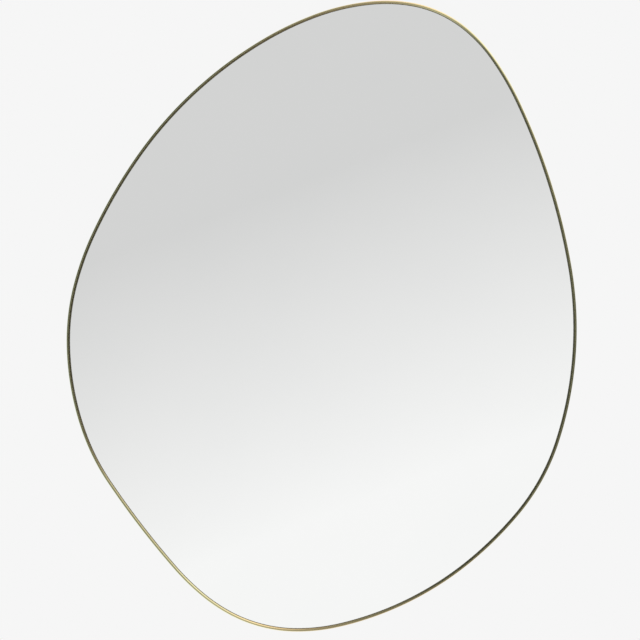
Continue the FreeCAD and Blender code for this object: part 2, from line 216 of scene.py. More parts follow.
# ---------------------------------------------------------------------------------------------
# Mesh helpers
# ---------------------------------------------------------------------------------------------
def piece(bm, name, body, materials, nodes=(), smooth_below=32):
    """Turns a bmesh into a named piece of the mirror that rides on a body."""
    mesh = bpy.data.meshes.new(name)
    bm.to_mesh(mesh)
    bm.free()
    for material in materials:
        mesh.materials.append(material)
    mesh.shade_smooth()
    mesh.set_sharp_from_angle(angle=math.radians(smooth_below))
    made = bpy.data.objects.new(name, mesh)
    bpy.context.scene.collection.objects.link(made)
    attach(made, body)
    if nodes:
        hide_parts(*nodes)
    return made


def verts_of(geom):
    """The vertices in an operator's result."""
    return [g for g in geom if isinstance(g, bmesh.types.BMVert)]


def edges_of(geom):
    """The edges in an operator's result."""
    return [g for g in geom if isinstance(g, bmesh.types.BMEdge)]


def join_into(bm, other):
    """Adds a copy of another bmesh to bm and frees the other."""
    passing = bpy.data.meshes.new("passing")
    other.to_mesh(passing)
    other.free()
    bm.from_mesh(passing)
    bpy.data.meshes.remove(passing)


def loop_section(bm, corners, rounding):
    """A closed flat section: a face with rounded corners, of which only the edges stay."""
    ring = [bm.verts.new(corner) for corner in corners]
    bm.faces.new(ring)
    for vert, (size, segments, fullness) in zip(ring, rounding):
        bmesh.ops.bevel(bm, geom=[vert], offset=size, offset_type="OFFSET", affect="VERTICES",
                        segments=segments, profile=fullness, material=-1)
    bmesh.ops.delete(bm, geom=bm.faces[:], context="FACES_ONLY")
    return bm.verts[:] + bm.edges[:]


def sweep_outline(bm, section):
    """Carries a section round the whole outline with one spin for each arc."""
    turn_to_start = Matrix.Rotation(-math.radians(OUTLINE[0].start), 3, "Y")
    start = OUTLINE[0].at(OUTLINE[0].start)
    for vert in verts_of(section):
        vert.co = turn_to_start @ vert.co + start
    for arc in OUTLINE:
        steps = max(2, math.ceil(arc.length() / SWEEP_STEP))
        turned = bmesh.ops.spin(bm, geom=section, cent=arc.centre, axis=AWAY_FROM_WALL,
                                angle=math.radians(arc.end - arc.start), steps=steps)
        section = turned["geom_last"]
    bmesh.ops.remove_doubles(bm, verts=bm.verts, dist=SAME_PLACE)


def place_on_outline(point):
    """(distance along the outline, distance outwards from it) of a point near the strip.

    A long arc's far centre has points of the opposite side in its angle too, so the nearest arc counts.
    """
    places, travelled = [], 0.0
    for arc in OUTLINE:
        out = point - arc.centre
        turned = math.degrees(math.atan2(out.z, out.x)) - arc.start
        degrees = (turned + SEAM_DEGREES) % 360 - SEAM_DEGREES
        if degrees <= arc.end - arc.start + SEAM_DEGREES:
            outwards = math.hypot(out.x, out.z) - arc.radius
            places.append((travelled + arc.radius * math.radians(degrees), outwards))
        travelled += arc.length()
    return min(places, key=lambda place: abs(place[1]))


def lay_grain(bm):
    """A UV map in metres: along the strip, and across it round its section."""
    uv = bm.loops.layers.uv.new("grain")
    places = {vert: place_on_outline(vert.co) for vert in bm.verts}
    for face in bm.faces:
        longest = max(places[vert][0] for vert in face.verts)
        for loop in face.loops:
            along, outwards = places[loop.vert]
            if longest - along > OUTLINE_LENGTH / 2:
                along += OUTLINE_LENGTH
            loop[uv].uv = (along, loop.vert.co.y + outwards)


# ---------------------------------------------------------------------------------------------
# Node helpers
# ---------------------------------------------------------------------------------------------
def node(tree, kind, inputs=None, **settings):
    """Adds a node, sets its properties, and gives its inputs values or links."""
    made = tree.nodes.new(kind)
    for name, value in settings.items():
        setattr(made, name, value)
    for name, value in (inputs or {}).items():
        if isinstance(value, bpy.types.NodeSocket):
            tree.links.new(value, made.inputs[name])
        else:
            made.inputs[name].default_value = value
    return made


def maths(tree, operation, *values):
    """The result of a Math node."""
    return node(tree, "ShaderNodeMath", dict(enumerate(values)), operation=operation).outputs[0]


def remap(tree, value, low, high, to_low, to_high, smooth=False):
    """A value carried from one range to another, and held at its ends."""
    kind = "SMOOTHSTEP" if smooth else "LINEAR"
    return node(tree, "ShaderNodeMapRange", {0: value, 1: low, 2: high, 3: to_low, 4: to_high},
                interpolation_type=kind, clamp=True).outputs[0]


def blend_colours(tree, factor, first, second):
    """The first colour where the factor is 0 and the second where it is 1."""
    mixed = node(tree, "ShaderNodeMix", {0: factor, 6: first, 7: second}, data_type="RGBA")
    return mixed.outputs[2]


def node_group(name, inputs, outputs):
    """An empty shader node group with named sockets: (group, its input node, its output node)."""
    group = bpy.data.node_groups.new(name, "ShaderNodeTree")
    for label, kind, value in inputs:
        socket = group.interface.new_socket(label, in_out="INPUT", socket_type=kind)
        socket.default_value = value
    for label, kind in outputs:
        group.interface.new_socket(label, in_out="OUTPUT", socket_type=kind)
    return group, group.nodes.new("NodeGroupInput"), group.nodes.new("NodeGroupOutput")


def use(tree, group, **inputs):
    """Places a node group in a tree with its own values."""
    made = tree.nodes.new("ShaderNodeGroup")
    made.node_tree = group
    for name, value in inputs.items():
        socket = made.inputs[name.replace("_", " ").capitalize()]
        if isinstance(value, bpy.types.NodeSocket):
            tree.links.new(value, socket)
        else:
            socket.default_value = value
    return made.outputs


def colour(red, green, blue):
    """An opaque colour."""
    return (red, green, blue, 1.0)


def brushed_group():
    """Fine lines that run along X of the given coordinates."""
    group, given, out = node_group(
        "Brushed lines",
        [("Place", "NodeSocketVector", (0, 0, 0)), ("Run", "NodeSocketFloat", 0.05),
         ("Pitch", "NodeSocketFloat", 0.0003)],
        [("Height", "NodeSocketFloat"), ("Broad", "NodeSocketFloat")])
    across = maths(group, "DIVIDE", 1.0, given.outputs["Pitch"])
    along = maths(group, "DIVIDE", 1.0, given.outputs["Run"])
    scale = node(group, "ShaderNodeCombineXYZ", {0: along, 1: across, 2: across}).outputs[0]
    lines = node(group, "ShaderNodeVectorMath", {0: given.outputs["Place"], 1: scale},
                 operation="MULTIPLY").outputs[0]
    fine = node(group, "ShaderNodeTexNoise", {"Vector": lines, "Scale": 1.0, "Detail": 2.0,
                                              "Roughness": 0.6})
    wide = node(group, "ShaderNodeTexNoise", {"Vector": lines, "Scale": 0.12, "Detail": 3.0,
                                              "Roughness": 0.55})
    group.links.new(fine.outputs[0], out.inputs["Height"])
    group.links.new(wide.outputs[0], out.inputs["Broad"])
    return group


def haze_group():
    """Uneven gloss: soft clouds with fainter, finer ones inside them, from a low to a high roughness."""
    group, given, out = node_group(
        "Handled haze",
        [("Place", "NodeSocketVector", (0, 0, 0)), ("Size", "NodeSocketFloat", 0.08),
         ("Low", "NodeSocketFloat", 0.1), ("High", "NodeSocketFloat", 0.2)],
        [("Roughness", "NodeSocketFloat"), ("Mask", "NodeSocketFloat")])
    scale = maths(group, "DIVIDE", 1.0, given.outputs["Size"])
    clouds = node(group, "ShaderNodeTexNoise", {"Vector": given.outputs["Place"], "Scale": scale,
                                                "Detail": 5.0, "Roughness": 0.55}).outputs[0]
    mask = remap(group, clouds, 0.35, 0.7, 0.0, 1.0, smooth=True)
    rough = remap(group, mask, 0.0, 1.0, given.outputs["Low"], given.outputs["High"])
    group.links.new(rough, out.inputs["Roughness"])
    group.links.new(mask, out.inputs["Mask"])
    return group


def grain_group():
    """Short fibres and specks, for pressed board, foam cells and moulded rubber."""
    group, given, out = node_group(
        "Fibres and specks",
        [("Place", "NodeSocketVector", (0, 0, 0)), ("Size", "NodeSocketFloat", 0.002),
         ("Stretch", "NodeSocketFloat", 4.0)],
        [("Fibre", "NodeSocketFloat"), ("Speck", "NodeSocketFloat")])
    scale = maths(group, "DIVIDE", 1.0, given.outputs["Size"])
    squeezed = maths(group, "DIVIDE", 1.0, given.outputs["Stretch"])
    drawn = node(group, "ShaderNodeCombineXYZ", {0: squeezed, 1: 1.0, 2: 1.0}).outputs[0]
    level = node(group, "ShaderNodeVectorMath", {0: given.outputs["Place"], 1: drawn},
                 operation="MULTIPLY").outputs[0]
    turned = node(group, "ShaderNodeMapping", {"Vector": given.outputs["Place"],
                                               "Rotation": (0, math.radians(68), 0)}).outputs[0]
    slanted = node(group, "ShaderNodeVectorMath", {0: turned, 1: drawn}, operation="MULTIPLY").outputs[0]
    one = node(group, "ShaderNodeTexNoise", {"Vector": level, "Scale": scale, "Detail": 4.0,
                                             "Distortion": 0.6}).outputs[0]
    two = node(group, "ShaderNodeTexNoise", {"Vector": slanted, "Scale": scale, "Detail": 4.0,
                                             "Distortion": 0.6}).outputs[0]
    fibre = maths(group, "MAXIMUM", one, two)
    cells = node(group, "ShaderNodeTexVoronoi", {"Vector": given.outputs["Place"], "Scale": scale},
                 feature="F1").outputs["Distance"]
    group.links.new(fibre, out.inputs["Fibre"])
    group.links.new(remap(group, cells, 0.05, 0.35, 1.0, 0.0, smooth=True), out.inputs["Speck"])
    return group


BRUSHED = brushed_group()
HAZE = haze_group()
GRAIN = grain_group()


def new_material(name):
    """A material with its shader: (material, tree, shader, object coordinates)."""
    material = bpy.data.materials.new(name)
    material.use_nodes = True
    tree = material.node_tree
    shader = tree.nodes["Principled BSDF"]
    place = node(tree, "ShaderNodeTexCoord").outputs["Object"]
    return material, tree, shader, place


def set_shader(shader, **values):
    """Sets what is the same all over the surface on the shader's own sockets."""
    for name, value in values.items():
        shader.inputs[name.replace("_", " ")].default_value = value


def bump(tree, shader, height, depth):
    """Raises the surface by a height of 0 to 1 times the depth."""
    raised = node(tree, "ShaderNodeBump", {"Height": height, "Distance": depth, "Strength": 1.0})
    tree.links.new(raised.outputs[0], shader.inputs["Normal"])


def grain_coordinates(tree):
    """The strip's own coordinates, from lay_grain."""
    return node(tree, "ShaderNodeUVMap", uv_map="grain").outputs[0]


# ---------------------------------------------------------------------------------------------
# Materials
# ---------------------------------------------------------------------------------------------
BRUSHING_SHARE = 0.6       # of a metal's change of tone; the haze makes the rest


def metal(name, light, deep, roughness, run, pitch, depth, haze_size=60 * MM, along=None):
    """A brushed, plated metal in two close tones, with the brushing's run, pitch and depth.

    The lines run along X, or along the strip's grain, or upright.
    """
    material, tree, shader, place = new_material(name)
    lay = grain_coordinates(tree) if along == "grain" else place
    if along == "upright":
        lay = node(tree, "ShaderNodeMapping", {"Vector": place, "Rotation": (0, math.pi / 2, 0)}).outputs[0]
    lines = use(tree, BRUSHED, place=lay, run=run, pitch=pitch)
    haze = use(tree, HAZE, place=place, size=haze_size, low=roughness[0], high=roughness[1])
    tone = maths(tree, "ADD", maths(tree, "MULTIPLY", lines["Broad"], BRUSHING_SHARE),
                 maths(tree, "MULTIPLY", haze["Mask"], 1 - BRUSHING_SHARE))
    tree.links.new(blend_colours(tree, tone, colour(*light), colour(*deep)), shader.inputs["Base Color"])
    streaky = maths(tree, "ADD", haze["Roughness"],
                    remap(tree, lines["Broad"], 0.35, 0.65, -0.02, 0.03))
    tree.links.new(streaky, shader.inputs["Roughness"])
    set_shader(shader, Metallic=1.0)
    bump(tree, shader, lines["Height"], depth)
    return material


def silvering():
    """The mirror's face: clean silver with the faintest haze left by a cloth."""
    material, tree, shader, place = new_material("Silvered glass")
    haze = use(tree, HAZE, place=place, size=220 * MM, low=0.0, high=0.012)
    tree.links.new(haze["Roughness"], shader.inputs["Roughness"])
    tint = blend_colours(tree, haze["Mask"], colour(0.960, 0.966, 0.960), colour(0.952, 0.959, 0.953))
    tree.links.new(tint, shader.inputs["Base Color"])
    set_shader(shader, Metallic=1.0)
    return material


def ground_glass_edge():
    """The ground edge of float glass: dull green-grey, with the marks of the wheel."""
    material, tree, shader, place = new_material("Ground glass edge")
    lines = use(tree, BRUSHED, place=place, run=3 * MM, pitch=0.4 * MM)
    tint = blend_colours(tree, lines["Broad"], colour(0.58, 0.67, 0.62), colour(0.72, 0.79, 0.75))
    tree.links.new(tint, shader.inputs["Base Color"])
    tree.links.new(remap(tree, lines["Height"], 0.3, 0.7, 0.22, 0.42), shader.inputs["Roughness"])
    bump(tree, shader, lines["Height"], 0.03 * MM)
    return material


def backing_paint():
    """The grey paint that seals the silver, with the curtain coater's faint ripple."""
    material, tree, shader, place = new_material("Mirror backing paint")
    ripple = use(tree, BRUSHED, place=place, run=80 * MM, pitch=6 * MM)
    tint = blend_colours(tree, ripple["Broad"], colour(0.20, 0.22, 0.23), colour(0.27, 0.29, 0.30))
    tree.links.new(tint, shader.inputs["Base Color"])
    tree.links.new(remap(tree, ripple["Height"], 0.3, 0.7, 0.38, 0.55), shader.inputs["Roughness"])
    bump(tree, shader, ripple["Broad"], 0.1 * MM)
    return material


def pressed_board():
    """Medium-density fibreboard: fine pale and dark fibres in a brown ground."""
    material, tree, shader, place = new_material("Fibreboard")
    fibres = use(tree, GRAIN, place=place, size=0.8 * MM, stretch=4.0)
    clouds = use(tree, HAZE, place=place, size=110 * MM, low=0.0, high=1.0)
    ground = blend_colours(tree, clouds["Mask"], colour(0.335, 0.215, 0.120), colour(0.305, 0.192, 0.105))
    pale = remap(tree, fibres["Fibre"], 0.55, 0.72, 0.0, 0.6, smooth=True)
    with_fibre = blend_colours(tree, pale, ground, colour(0.475, 0.335, 0.205))
    dark = maths(tree, "MULTIPLY", fibres["Speck"], 0.35)
    tree.links.new(blend_colours(tree, dark, with_fibre, colour(0.135, 0.080, 0.045)),
                   shader.inputs["Base Color"])
    tree.links.new(remap(tree, fibres["Fibre"], 0.3, 0.7, 0.72, 0.9), shader.inputs["Roughness"])
    bump(tree, shader, fibres["Fibre"], 0.05 * MM)
    return material


def foam():
    """Closed-cell foam of the double-sided tape."""
    material, tree, shader, place = new_material("Foam tape")
    cells = use(tree, GRAIN, place=place, size=0.8 * MM, stretch=1.0)
    tint = blend_colours(tree, cells["Speck"], colour(0.76, 0.76, 0.73), colour(0.58, 0.58, 0.56))
    tree.links.new(tint, shader.inputs["Base Color"])
    tree.links.new(remap(tree, cells["Fibre"], 0.3, 0.7, 0.78, 0.92), shader.inputs["Roughness"])
    bump(tree, shader, cells["Speck"], 0.1 * MM)
    return material


def rubber():
    """Black moulded rubber, a little dusty where it is handled."""
    material, tree, shader, place = new_material("Bumper rubber")
    skin = use(tree, GRAIN, place=place, size=0.6 * MM, stretch=1.0)
    dust = use(tree, HAZE, place=place, size=12 * MM, low=0.55, high=0.75)
    tint = blend_colours(tree, dust["Mask"], colour(0.018, 0.018, 0.019), colour(0.040, 0.040, 0.038))
    tree.links.new(tint, shader.inputs["Base Color"])
    tree.links.new(dust["Roughness"], shader.inputs["Roughness"])
    bump(tree, shader, skin["Fibre"], 0.05 * MM)
    return material


def weld_metal():
    """Brass-coloured weld: duller than the strip and stained darker beside the bead."""
    material, tree, shader, place = new_material("Plated weld")
    stain = use(tree, HAZE, place=place, size=4 * MM, low=0.28, high=0.5)
    tint = blend_colours(tree, stain["Mask"], colour(0.62, 0.52, 0.31), colour(0.34, 0.25, 0.14))
    tree.links.new(tint, shader.inputs["Base Color"])
    tree.links.new(stain["Roughness"], shader.inputs["Roughness"])
    set_shader(shader, Metallic=1.0)
    bump(tree, shader, stain["Mask"], 0.06 * MM)
    return material


BRASS = metal("Pale brass strip", light=(0.735, 0.690, 0.400), deep=(0.665, 0.615, 0.335),
              roughness=(0.15, 0.22), run=50 * MM, pitch=0.35 * MM, depth=0.004 * MM, along="grain")
# rougher brass for the strip's inner wall; its darker, browner colours are painted shade in the recess by
# the glass
DULL_BRASS_PAINTED_SHADE = metal("Dull brass inside the strip painted darker as shade", light=(0.600, 0.500, 0.270), deep=(0.500, 0.400, 0.200),
                   roughness=(0.38, 0.50), run=50 * MM, pitch=0.4 * MM, depth=0.01 * MM, along="grain")
TAB_BRASS = metal("Pale brass tab", light=(0.700, 0.620, 0.400), deep=(0.600, 0.510, 0.300),
                  roughness=(0.24, 0.34), run=20 * MM, pitch=0.3 * MM, depth=0.006 * MM,
                  haze_size=20 * MM)
STRAP_STEEL = metal("Zinc-plated strap", light=(0.66, 0.67, 0.68), deep=(0.52, 0.54, 0.56),
                    roughness=(0.26, 0.38), run=20 * MM, pitch=0.3 * MM, depth=0.006 * MM,
                    haze_size=12 * MM, along="upright")
RING_STEEL = metal("Bright drawn wire", light=(0.74, 0.75, 0.76), deep=(0.62, 0.63, 0.65),
                   roughness=(0.12, 0.20), run=6 * MM, pitch=0.2 * MM, depth=0.002 * MM,
                   haze_size=10 * MM)
SCREW_STEEL = metal("Zinc-plated screw", light=(0.64, 0.65, 0.66), deep=(0.50, 0.51, 0.53),
                    roughness=(0.22, 0.34), run=3 * MM, pitch=0.2 * MM, depth=0.004 * MM,
                    haze_size=5 * MM)
SILVER = silvering()
GLASS_EDGE = ground_glass_edge()
BACKING = backing_paint()
BOARD = pressed_board()
FOAM = foam()
RUBBER = rubber()
WELD = weld_metal()


# ---------------------------------------------------------------------------------------------
# Strip and glass
# ---------------------------------------------------------------------------------------------
def brass_band():
    """The strip on edge, rounded from both sides to a soft ridge in front; its inside is dull, and painted
    darker as shade in the recess.
    """
    bm = bmesh.new()
    corners = [Vector((0, REAR_RIM_Y, 0)), Vector((-BAND_WALL, REAR_RIM_Y, 0)),
               Vector((-BAND_WALL, FRONT_RIM_Y, 0)), Vector((0, FRONT_RIM_Y, 0))]
    rear, front = (REAR_ROUNDING, 2, 0.5), (RIM_ROUNDING, 10, RIM_FULLNESS)
    section = loop_section(bm, corners, (rear, rear, front, front))
    sweep_outline(bm, section)
    bmesh.ops.recalc_face_normals(bm, faces=bm.faces)
    lay_grain(bm)
    for face in bm.faces:
        middle = face.calc_center_median()
        behind_rim = middle.y > FRONT_RIM_Y + RIM_ROUNDING
        # the inner wall behind the rim gets the rougher brass with painted shade
        if behind_rim and place_on_outline(middle)[1] < -INNER_WALL_INSET:
            face.material_index = 1
    piece(bm, "brass_band_strip", "mirror", [BRASS, DULL_BRASS_PAINTED_SHADE], ["frame_band"])


def silvered_pane():
    """Glass with a ground arris on both sides: a silvered face, a ground edge and a painted back."""
    bm = bmesh.new()
    rear_arris = GLASS_ARRIS / 2
    profile = [(-GLASS_INSET - rear_arris, GLASS_BACK_Y), (-GLASS_INSET, GLASS_BACK_Y - rear_arris),
               (-GLASS_INSET, GLASS_FRONT_Y + GLASS_ARRIS), (-GLASS_INSET - GLASS_ARRIS, GLASS_FRONT_Y)]
    chain = [bm.verts.new((out, y, 0)) for out, y in profile]
    edges = [bm.edges.new(pair) for pair in zip(chain, chain[1:])]
    sweep_outline(bm, chain + edges)
    for face in bm.faces:
        face.material_index = 1
    for y, index in ((GLASS_FRONT_Y, 0), (GLASS_BACK_Y, 2)):
        rim = [e for e in bm.edges
               if e.is_boundary and all(abs(v.co.y - y) < SAME_PLACE for v in e.verts)]
        for face in bmesh.ops.contextual_create(bm, geom=rim)["faces"]:
            face.material_index = index
    bmesh.ops.recalc_face_normals(bm, faces=bm.faces)
    piece(bm, "silvered_pane", "mirror", [SILVER, GLASS_EDGE, BACKING],
          ["mirror_glass"], smooth_below=20)


# ---------------------------------------------------------------------------------------------
# Tabs and their welds
# ---------------------------------------------------------------------------------------------
def seat_on_band(bm, direction):
    """Moves a tab from its own frame (outwards +X, board at y = 0) to its place inside the strip."""
    arc = facing(OUTLINE, direction)
    radius = arc.radius - BAND_WALL
    rise = radius - math.sqrt(radius ** 2 - TAB_HALF_WIDTH ** 2)
    place = Matrix.Translation(arc.at(direction, BAND_WALL + rise) + Vector((0, BOARD_BACK_Y, 0)))
    bmesh.ops.transform(bm, verts=bm.verts,
                        matrix=place @ Matrix.Rotation(-math.radians(direction), 4, "Y"))


def bent_tab(direction, number):
    """A tab folded from flat bar, with rolled edges, clipped corners and a screw hole."""
    bm = bmesh.new()
    hole = BAND_WALL - TAB_HOLE_INSET
    outside = TAB_BEND + TAB_THICKNESS
    # the flat lap, from its clipped end to the bend, starts as a sheet with a round hole in it
    sheet = [(-TAB_REACH, TAB_CLIP - TAB_HALF_WIDTH), (TAB_CLIP - TAB_REACH, -TAB_HALF_WIDTH),
             (-outside, -TAB_HALF_WIDTH), (-outside, TAB_HALF_WIDTH),
             (TAB_CLIP - TAB_REACH, TAB_HALF_WIDTH), (-TAB_REACH, TAB_HALF_WIDTH - TAB_CLIP)]
    border = [bm.verts.new((x, TAB_THICKNESS, z)) for x, z in sheet]
    border_edges = [bm.edges.new(pair) for pair in zip(border, border[1:] + border[:1])]
    hole_place = Matrix.Translation((hole, TAB_THICKNESS, 0)) @ Matrix.Rotation(math.pi / 2, 4, "X")
    bmesh.ops.create_circle(bm, segments=32, radius=TAB_HOLE_RADIUS, matrix=hole_place)
    bmesh.ops.triangle_fill(bm, use_beauty=True, use_dissolve=True, edges=bm.edges[:])
    # the edge at the bend is spun up and then drawn out into the leg
    fold = [e for e in border_edges if all(abs(v.co.x + outside) < SAME_PLACE for v in e.verts)]
    turned = bmesh.ops.spin(bm, geom=[v for e in fold for v in e.verts] + fold,
                            cent=(-outside, outside, 0), axis=(0, 0, 1), angle=math.pi / 2, steps=6)
    leg = bmesh.ops.extrude_edge_only(bm, edges=edges_of(turned["geom_last"]))["geom"]
    for vert in verts_of(leg):
        vert.co.y = TAB_LEG
    # the sheet is the side towards the wall; facing that way, it gets its thickness towards the board
    bmesh.ops.recalc_face_normals(bm, faces=bm.faces)
    lap = next(f for f in bm.faces if abs(f.normal.y) > 0.99)
    if lap.normal.y < 0:
        bmesh.ops.reverse_faces(bm, faces=bm.faces)
    bmesh.ops.solidify(bm, geom=bm.faces[:], thickness=TAB_THICKNESS)
    bmesh.ops.recalc_face_normals(bm, faces=bm.faces)
    crisp = [e for e in bm.edges if len(e.link_faces) == 2 and e.calc_face_angle(0) > math.radians(60)]
    bmesh.ops.bevel(bm, geom=crisp, offset=TAB_EDGE_ROUNDING, offset_type="OFFSET", affect="EDGES",
                    segments=2, profile=0.5, material=-1, clamp_overlap=True)
    seat_on_band(bm, direction)
    name = f"fixing_tab_{number:02d}"
    piece(bm, f"bent_tab_{number:02d}", "mirror", [TAB_BRASS], [name])


def tab_welds(direction, number):
    """Two short rows of overlapping weld puddles, one down each side of the tab's leg."""
    bm = bmesh.new()
    outwards, up, sideways = WELD_SIZE
    for side in (-1, 1):
        for puddle in range(WELD_PUDDLES):
            height = WELD_START + puddle * WELD_PITCH
            wobble = WELD_UNEVENNESS * math.sin(2.3 * puddle + number + side)
            blob = bmesh.new()
            bmesh.ops.create_icosphere(blob, subdivisions=3, radius=1.0)
            shape = Matrix.Diagonal((outwards, up, sideways + wobble, 1))
            place = Matrix.Translation((-WELD_SET_IN, height, side * (TAB_HALF_WIDTH + WELD_BESIDE)))
            bmesh.ops.transform(blob, matrix=place @ shape, verts=blob.verts)
            join_into(bm, blob)
    seat_on_band(bm, direction)
    piece(bm, f"tab_weld_{number:02d}", "mirror", [WELD])


# ---------------------------------------------------------------------------------------------
# Screws
# ---------------------------------------------------------------------------------------------
def cross_head_screw(head_radius, head_height, shank_radius, shank_length):
    """A pan-head screw with a cross recess, as a coarse cage for subdivision; its seat is y = 0."""
    bm = bmesh.new()
    reach, arm = RECESS_REACH * head_radius, RECESS_ARM * head_radius
    # three by three cells, whose middle row and column make the cross
    bmesh.ops.create_grid(bm, x_segments=3, y_segments=3, size=1.0,
                          matrix=Matrix.Rotation(-math.pi / 2, 4, "X"))
    for vert in bm.verts:
        far_x, far_z = abs(vert.co.x) > 0.5, abs(vert.co.z) > 0.5
        drawn_in = BETWEEN_ARMS if far_x and far_z else 1.0
        vert.co = Vector((math.copysign(reach if far_x else arm, vert.co.x) * drawn_in, head_height,
                          math.copysign(reach if far_z else arm, vert.co.z) * drawn_in))
    middles = {face: face.calc_center_median() for face in bm.faces}
    cross = [face for face, middle in middles.items() if min(abs(middle.x), abs(middle.z)) < SAME_PLACE]
    girths = [(share * head_radius, rise * head_height) for share, rise in HEAD_RINGS]
    girths += [(shank_radius, 0.0), (shank_radius, 2 * shank_radius - shank_length),
               (SHANK_END * shank_radius, -shank_length)]
    rim = [e for e in bm.edges if e.is_boundary]
    for radius, y in girths:
        rim = edges_of(bmesh.ops.extrude_edge_only(bm, edges=rim)["geom"])
        for vert in {v for e in rim for v in e.verts}:
            out = Vector((vert.co.x, 0, vert.co.z)).normalized() * radius
            vert.co = Vector((out.x, y, out.z))
    bmesh.ops.contextual_create(bm, geom=rim)
    bmesh.ops.inset_region(bm, faces=cross, thickness=RECESS_DRAFT * head_radius,
                           depth=-RECESS_DEPTH * head_height, use_even_offset=True)
    bmesh.ops.recalc_face_normals(bm, faces=bm.faces)
    return bm


def screw_set(name, replaced, places, seat, screw, turn_each):
    """All the screws of one kind, each left some degrees further round than the last."""
    head_radius, head_height, shank_radius, bite = screw
    bm = bmesh.new()
    for number, (x, z) in enumerate(places, 1):
        one = cross_head_screw(head_radius, head_height, shank_radius, bite + seat)
        turn = Matrix.Rotation(math.radians(turn_each * number), 4, "Y")
        bmesh.ops.transform(one, verts=one.verts,
                            matrix=Matrix.Translation((x, BOARD_BACK_Y + seat, z)) @ turn)
        join_into(bm, one)
    made = piece(bm, name, "mirror", [SCREW_STEEL], [replaced], smooth_below=75)
    soften = made.modifiers.new("Rounding", "SUBSURF")
    soften.levels = soften.render_levels = 2


# ---------------------------------------------------------------------------------------------
# Hang rings and bumpers
# ---------------------------------------------------------------------------------------------
def bend_wire(bm, section, centre, degrees, steps):
    """Carries the wire's end round a bend and returns it."""
    return bmesh.ops.spin(bm, geom=section, cent=centre, axis=(0, 1, 0), angle=math.radians(degrees),
                          steps=steps)["geom_last"]


def run_wire(bm, section, step):
    """Carries the wire's end straight on and returns it."""
    grown = bmesh.ops.extrude_edge_only(bm, edges=edges_of(section))["geom"]
    moved = verts_of(grown)
    bmesh.ops.translate(bm, verts=moved, vec=step)
    return moved + edges_of(grown)


def hang_ring(side, sign):
    """The D ring of drawn wire: one wire circle carried round two corners and the bow."""
    bm = bmesh.new()
    bar_half = RING_HALF_WIDTH - RING_CORNER
    straight = RING_SIDE_LENGTH - RING_CORNER
    bmesh.ops.create_circle(bm, segments=24, radius=RING_WIRE, matrix=Matrix.Rotation(math.pi / 2, 4, "Y"))
    section = bm.verts[:] + bm.edges[:]
    section = run_wire(bm, section, Vector((bar_half, 0, 0)))
    section = bend_wire(bm, section, Vector((bar_half, 0, -RING_CORNER)), 90, 8)
    section = run_wire(bm, section, Vector((0, 0, -straight)))
    section = bend_wire(bm, section, Vector((0, 0, -RING_SIDE_LENGTH)), 180, 32)
    section = run_wire(bm, section, Vector((0, 0, straight)))
    section = bend_wire(bm, section, Vector((-bar_half, 0, -RING_CORNER)), 90, 8)
    run_wire(bm, section, Vector((bar_half, 0, 0)))
    bmesh.ops.remove_doubles(bm, verts=bm.verts, dist=SAME_PLACE)
    bmesh.ops.recalc_face_normals(bm, faces=bm.faces)
    tilt = Matrix.Rotation(RING_REST_TILT, 4, "X")
    place = Matrix.Translation((sign * HOOK_HALF_SPACING, EYE_Y, EYE_Z))
    bmesh.ops.transform(bm, verts=bm.verts, matrix=place @ tilt)
    name = f"hang_ring_{side}"
    piece(bm, f"drawn_ring_{side}", f"{side}_ring", [RING_STEEL], [name])


def rubber_bumper(corner):
    """A tapered square bumper with moulded round edges, in the place of its solid."""
    name = f"wall_bumper_{corner}"
    low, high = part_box(name)
    bm = bmesh.new()
    bmesh.ops.create_cube(bm, size=1.0)
    middle = (low + high) / 2
    for vert in bm.verts:
        at_wall = vert.co.y > 0
        half = (BUMPER_TOP if at_wall else BUMPER_FOOT) / 2
        vert.co = Vector((middle.x + math.copysign(half, vert.co.x), high.y if at_wall else low.y,
                          middle.z + math.copysign(half, vert.co.z)))
    upright = [e for e in bm.edges if abs(e.verts[0].co.y - e.verts[1].co.y) > MM]
    bmesh.ops.bevel(bm, geom=upright, offset=BUMPER_CORNER, offset_type="OFFSET", affect="EDGES",
                    segments=6, profile=0.5, material=-1)
    top = [e for e in bm.edges if all(abs(v.co.y - high.y) < SAME_PLACE for v in e.verts)]
    bmesh.ops.bevel(bm, geom=top, offset=BUMPER_TOP_ROUNDING, offset_type="OFFSET", affect="EDGES",
                    segments=5, profile=0.5, material=-1)
    bmesh.ops.recalc_face_normals(bm, faces=bm.faces)
    piece(bm, f"moulded_bumper_{corner}", "mirror", [RUBBER], [name])


# ---------------------------------------------------------------------------------------------
# Assembly
# ---------------------------------------------------------------------------------------------
brass_band()
silvered_pane()
TAB_DIRECTIONS = tab_directions()
for number, direction in enumerate(TAB_DIRECTIONS, 1):
    bent_tab(direction, number)
    tab_welds(direction, number)

tab_holes = [facing(OUTLINE, direction).at(direction, TAB_HOLE_INSET) for direction in TAB_DIRECTIONS]
screw_set("tab_screw_set", "tab_screws", [(hole.x, hole.z) for hole in tab_holes],
          seat=TAB_THICKNESS, screw=TAB_SCREW, turn_each=37)
strap_holes = [(x, EYE_Z - depth) for x in (-HOOK_HALF_SPACING, HOOK_HALF_SPACING)
               for depth in STRAP_HOLE_DEPTHS]
screw_set("hanger_screw_set", "hanger_screws", strap_holes,
          seat=STRAP_THICKNESS, screw=HANGER_SCREW, turn_each=74)
hang_ring("left", -1)
hang_ring("right", 1)
for corner in ("upper_right", "upper_left", "lower_left", "lower_right"):
    rubber_bumper(corner)

# ---- solids that stay as they are, with a finish of their own ----
KEPT_NODES = {"back_board": BOARD, "hanger_strap_left": STRAP_STEEL, "hanger_strap_right": STRAP_STEEL}
KEPT_NODES.update({name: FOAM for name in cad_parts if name.startswith("mounting_tape")})
for name, material in KEPT_NODES.items():
    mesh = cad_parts[name].data
    mesh.materials.clear()
    mesh.materials.append(material)


